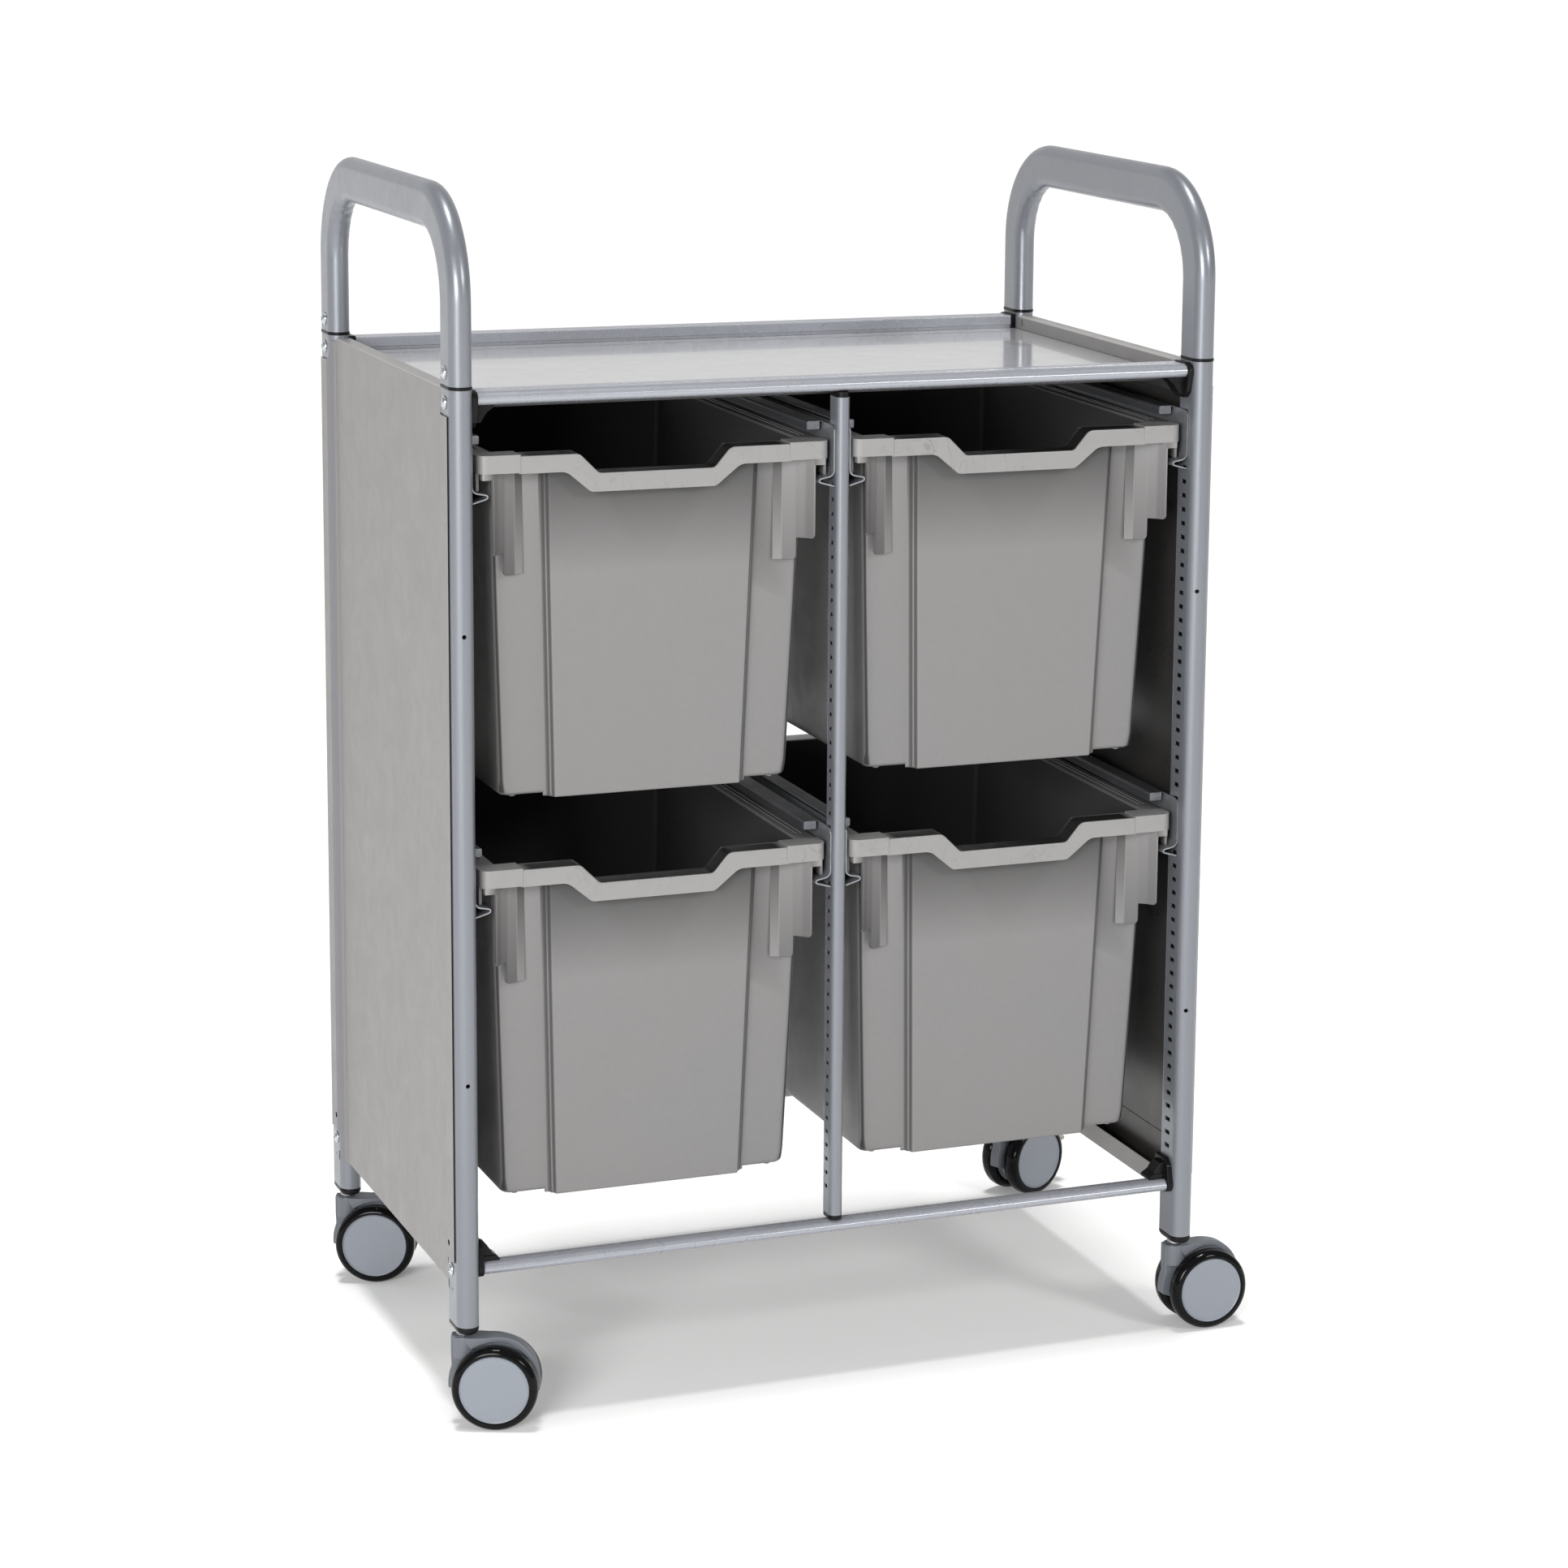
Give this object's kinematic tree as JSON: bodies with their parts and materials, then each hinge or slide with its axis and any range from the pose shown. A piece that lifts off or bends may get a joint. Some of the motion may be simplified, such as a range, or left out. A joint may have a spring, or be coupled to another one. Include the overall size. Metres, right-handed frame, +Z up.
{
  "type": "classroom tray trolley",
  "caption": "Wheeled classroom trolley: tubular steel frame with end handles, a shallow top shelf and deep pull-out trays on runners, standing on swivel casters with foot brakes.",
  "frame": {"origin": "on the floor under the centre of the overall bounding box", "axes": "+Z up, -Y towards the front where the trays pull out, +X to the trolley's right seen from the front"},
  "size_m": [0.7767, 0.4908, 1.068],
  "materials": {
    "silver_paint": "silver metallic powder coat, satin",
    "rail_aluminium": "extruded aluminium, silver metallic coat, satin",
    "panel_paint": "silver metallic powder coat on sheet, satin",
    "shelf_paint": "silver metallic coat, semi-gloss",
    "runner_steel": "zinc plated sheet",
    "tray_plastic": "silver-grey moulded polypropylene",
    "black_plastic": "black moulded plastic",
    "caster_plastic": "blue-grey moulded plastic",
    "wheel_plastic": "glossy black tread round a grey disc",
    "pedal_plastic": "warm grey moulded plastic"
  },
  "bodies": {
    "frame": {"post_front_left": "silver_paint", "post_front_right": "silver_paint", "post_back_left": "silver_paint", "post_back_right": "silver_paint", "handle_left": "silver_paint", "handle_right": "silver_paint", "handle_joiner_front_left": "black_plastic", "handle_joiner_front_right": "black_plastic", "handle_joiner_back_left": "black_plastic", "handle_joiner_back_right": "black_plastic", "post_foot_front_left": "black_plastic", "post_foot_front_right": "black_plastic", "post_foot_back_left": "black_plastic", "post_foot_back_right": "black_plastic", "side_panel_left": "panel_paint", "side_panel_right": "panel_paint", "top_shelf": "shelf_paint", "top_rail_front": "rail_aluminium", "top_bracket_front_left": "black_plastic", "top_bracket_front_right": "black_plastic", "top_rail_back": "rail_aluminium", "top_bracket_back_left": "black_plastic", "top_bracket_back_right": "black_plastic", "bottom_rail_front": "rail_aluminium", "bottom_bracket_front_left": "black_plastic", "bottom_bracket_front_right": "black_plastic", "bottom_rail_back": "rail_aluminium", "bottom_bracket_back_left": "black_plastic", "bottom_bracket_back_right": "black_plastic", "centre_post_front": "silver_paint", "centre_plug_front": "black_plastic", "centre_post_back": "silver_paint", "centre_plug_back": "black_plastic", "runner_upper_outer_left": "runner_steel", "runner_upper_inner_left": "runner_steel", "runner_upper_inner_right": "runner_steel", "runner_upper_outer_right": "runner_steel", "runner_lower_outer_left": "runner_steel", "runner_lower_inner_left": "runner_steel", "runner_lower_inner_right": "runner_steel", "runner_lower_outer_right": "runner_steel"},
    "tray_upper_left": {"tray_upper_left": "tray_plastic"},
    "tray_upper_right": {"tray_upper_right": "tray_plastic"},
    "tray_lower_left": {"tray_lower_left": "tray_plastic"},
    "tray_lower_right": {"tray_lower_right": "tray_plastic"},
    "caster_front_left": {"caster_front_left_housing": "caster_plastic"},
    "caster_front_left_wheel_a": {"caster_front_left_wheel_a": "wheel_plastic"},
    "caster_front_left_wheel_b": {"caster_front_left_wheel_b": "wheel_plastic"},
    "caster_front_right": {"caster_front_right_housing": "caster_plastic"},
    "caster_front_right_wheel_a": {"caster_front_right_wheel_a": "wheel_plastic"},
    "caster_front_right_wheel_b": {"caster_front_right_wheel_b": "wheel_plastic"},
    "caster_back_left": {"caster_back_left_housing": "caster_plastic"},
    "caster_back_left_wheel_a": {"caster_back_left_wheel_a": "wheel_plastic"},
    "caster_back_left_wheel_b": {"caster_back_left_wheel_b": "wheel_plastic"},
    "caster_back_left_pedal": {"caster_back_left_pedal": "pedal_plastic"},
    "caster_back_right": {"caster_back_right_housing": "caster_plastic"},
    "caster_back_right_wheel_a": {"caster_back_right_wheel_a": "wheel_plastic"},
    "caster_back_right_wheel_b": {"caster_back_right_wheel_b": "wheel_plastic"},
    "caster_back_right_pedal": {"caster_back_right_pedal": "pedal_plastic"}
  },
  "joints": [
    {"name": "tray_upper_left_slide", "type": "slide", "parent": "frame", "child": "tray_upper_left", "axis": [0, -1, 0], "range_m": [0, 0.46]},
    {"name": "tray_upper_right_slide", "type": "slide", "parent": "frame", "child": "tray_upper_right", "axis": [0, -1, 0], "range_m": [0, 0.46]},
    {"name": "tray_lower_left_slide", "type": "slide", "parent": "frame", "child": "tray_lower_left", "axis": [0, -1, 0], "range_m": [0, 0.46]},
    {"name": "tray_lower_right_slide", "type": "slide", "parent": "frame", "child": "tray_lower_right", "axis": [0, -1, 0], "range_m": [0, 0.46]},
    {"name": "caster_front_left_swivel", "type": "hinge", "parent": "frame", "child": "caster_front_left", "pos_m": [-0.3717, -0.1984, 0.07], "axis": [0, 0, 1], "continuous": true},
    {"name": "caster_front_left_wheel_a_spin", "type": "hinge", "parent": "caster_front_left", "child": "caster_front_left_wheel_a", "pos_m": [-0.34591, -0.2093, 0.0375], "axis": [0.3891, 0.9212, 0], "continuous": true},
    {"name": "caster_front_left_wheel_b_spin", "type": "hinge", "parent": "caster_front_left", "child": "caster_front_left_wheel_b", "pos_m": [-0.34591, -0.2093, 0.0375], "axis": [0.3891, 0.9212, 0], "continuous": true},
    {"name": "caster_front_right_swivel", "type": "hinge", "parent": "frame", "child": "caster_front_right", "pos_m": [0.3083, -0.1984, 0.07], "axis": [0, 0, 1], "continuous": true},
    {"name": "caster_front_right_wheel_a_spin", "type": "hinge", "parent": "caster_front_right", "child": "caster_front_right_wheel_a", "pos_m": [0.3363, -0.1984, 0.0375], "axis": [0, 1, 0], "continuous": true},
    {"name": "caster_front_right_wheel_b_spin", "type": "hinge", "parent": "caster_front_right", "child": "caster_front_right_wheel_b", "pos_m": [0.3363, -0.1984, 0.0375], "axis": [0, 1, 0], "continuous": true},
    {"name": "caster_back_left_swivel", "type": "hinge", "parent": "frame", "child": "caster_back_left", "pos_m": [-0.3717, 0.1982, 0.07], "axis": [0, 0, 1], "continuous": true},
    {"name": "caster_back_left_wheel_a_spin", "type": "hinge", "parent": "caster_back_left", "child": "caster_back_left_wheel_a", "pos_m": [-0.34591, 0.1873, 0.0375], "axis": [0.3891, 0.9212, 0], "continuous": true},
    {"name": "caster_back_left_wheel_b_spin", "type": "hinge", "parent": "caster_back_left", "child": "caster_back_left_wheel_b", "pos_m": [-0.34591, 0.1873, 0.0375], "axis": [0.3891, 0.9212, 0], "continuous": true},
    {"name": "caster_back_left_pedal_press", "type": "hinge", "parent": "caster_back_left", "child": "caster_back_left_pedal", "pos_m": [-0.3039, 0.16956, 0.0445], "axis": [0.3891, 0.9212, 0], "range_deg": [0, 20]},
    {"name": "caster_back_right_swivel", "type": "hinge", "parent": "frame", "child": "caster_back_right", "pos_m": [0.3083, 0.1982, 0.07], "axis": [0, 0, 1], "continuous": true},
    {"name": "caster_back_right_wheel_a_spin", "type": "hinge", "parent": "caster_back_right", "child": "caster_back_right_wheel_a", "pos_m": [0.33406, 0.20919, 0.0375], "axis": [-0.3923, 0.9198, 0], "continuous": true},
    {"name": "caster_back_right_wheel_b_spin", "type": "hinge", "parent": "caster_back_right", "child": "caster_back_right_wheel_b", "pos_m": [0.33406, 0.20919, 0.0375], "axis": [-0.3923, 0.9198, 0], "continuous": true},
    {"name": "caster_back_right_pedal_press", "type": "hinge", "parent": "caster_back_right", "child": "caster_back_right_pedal", "pos_m": [0.376, 0.22708, 0.0445], "axis": [-0.3923, 0.9198, 0], "range_deg": [0, 20]}
  ]
}
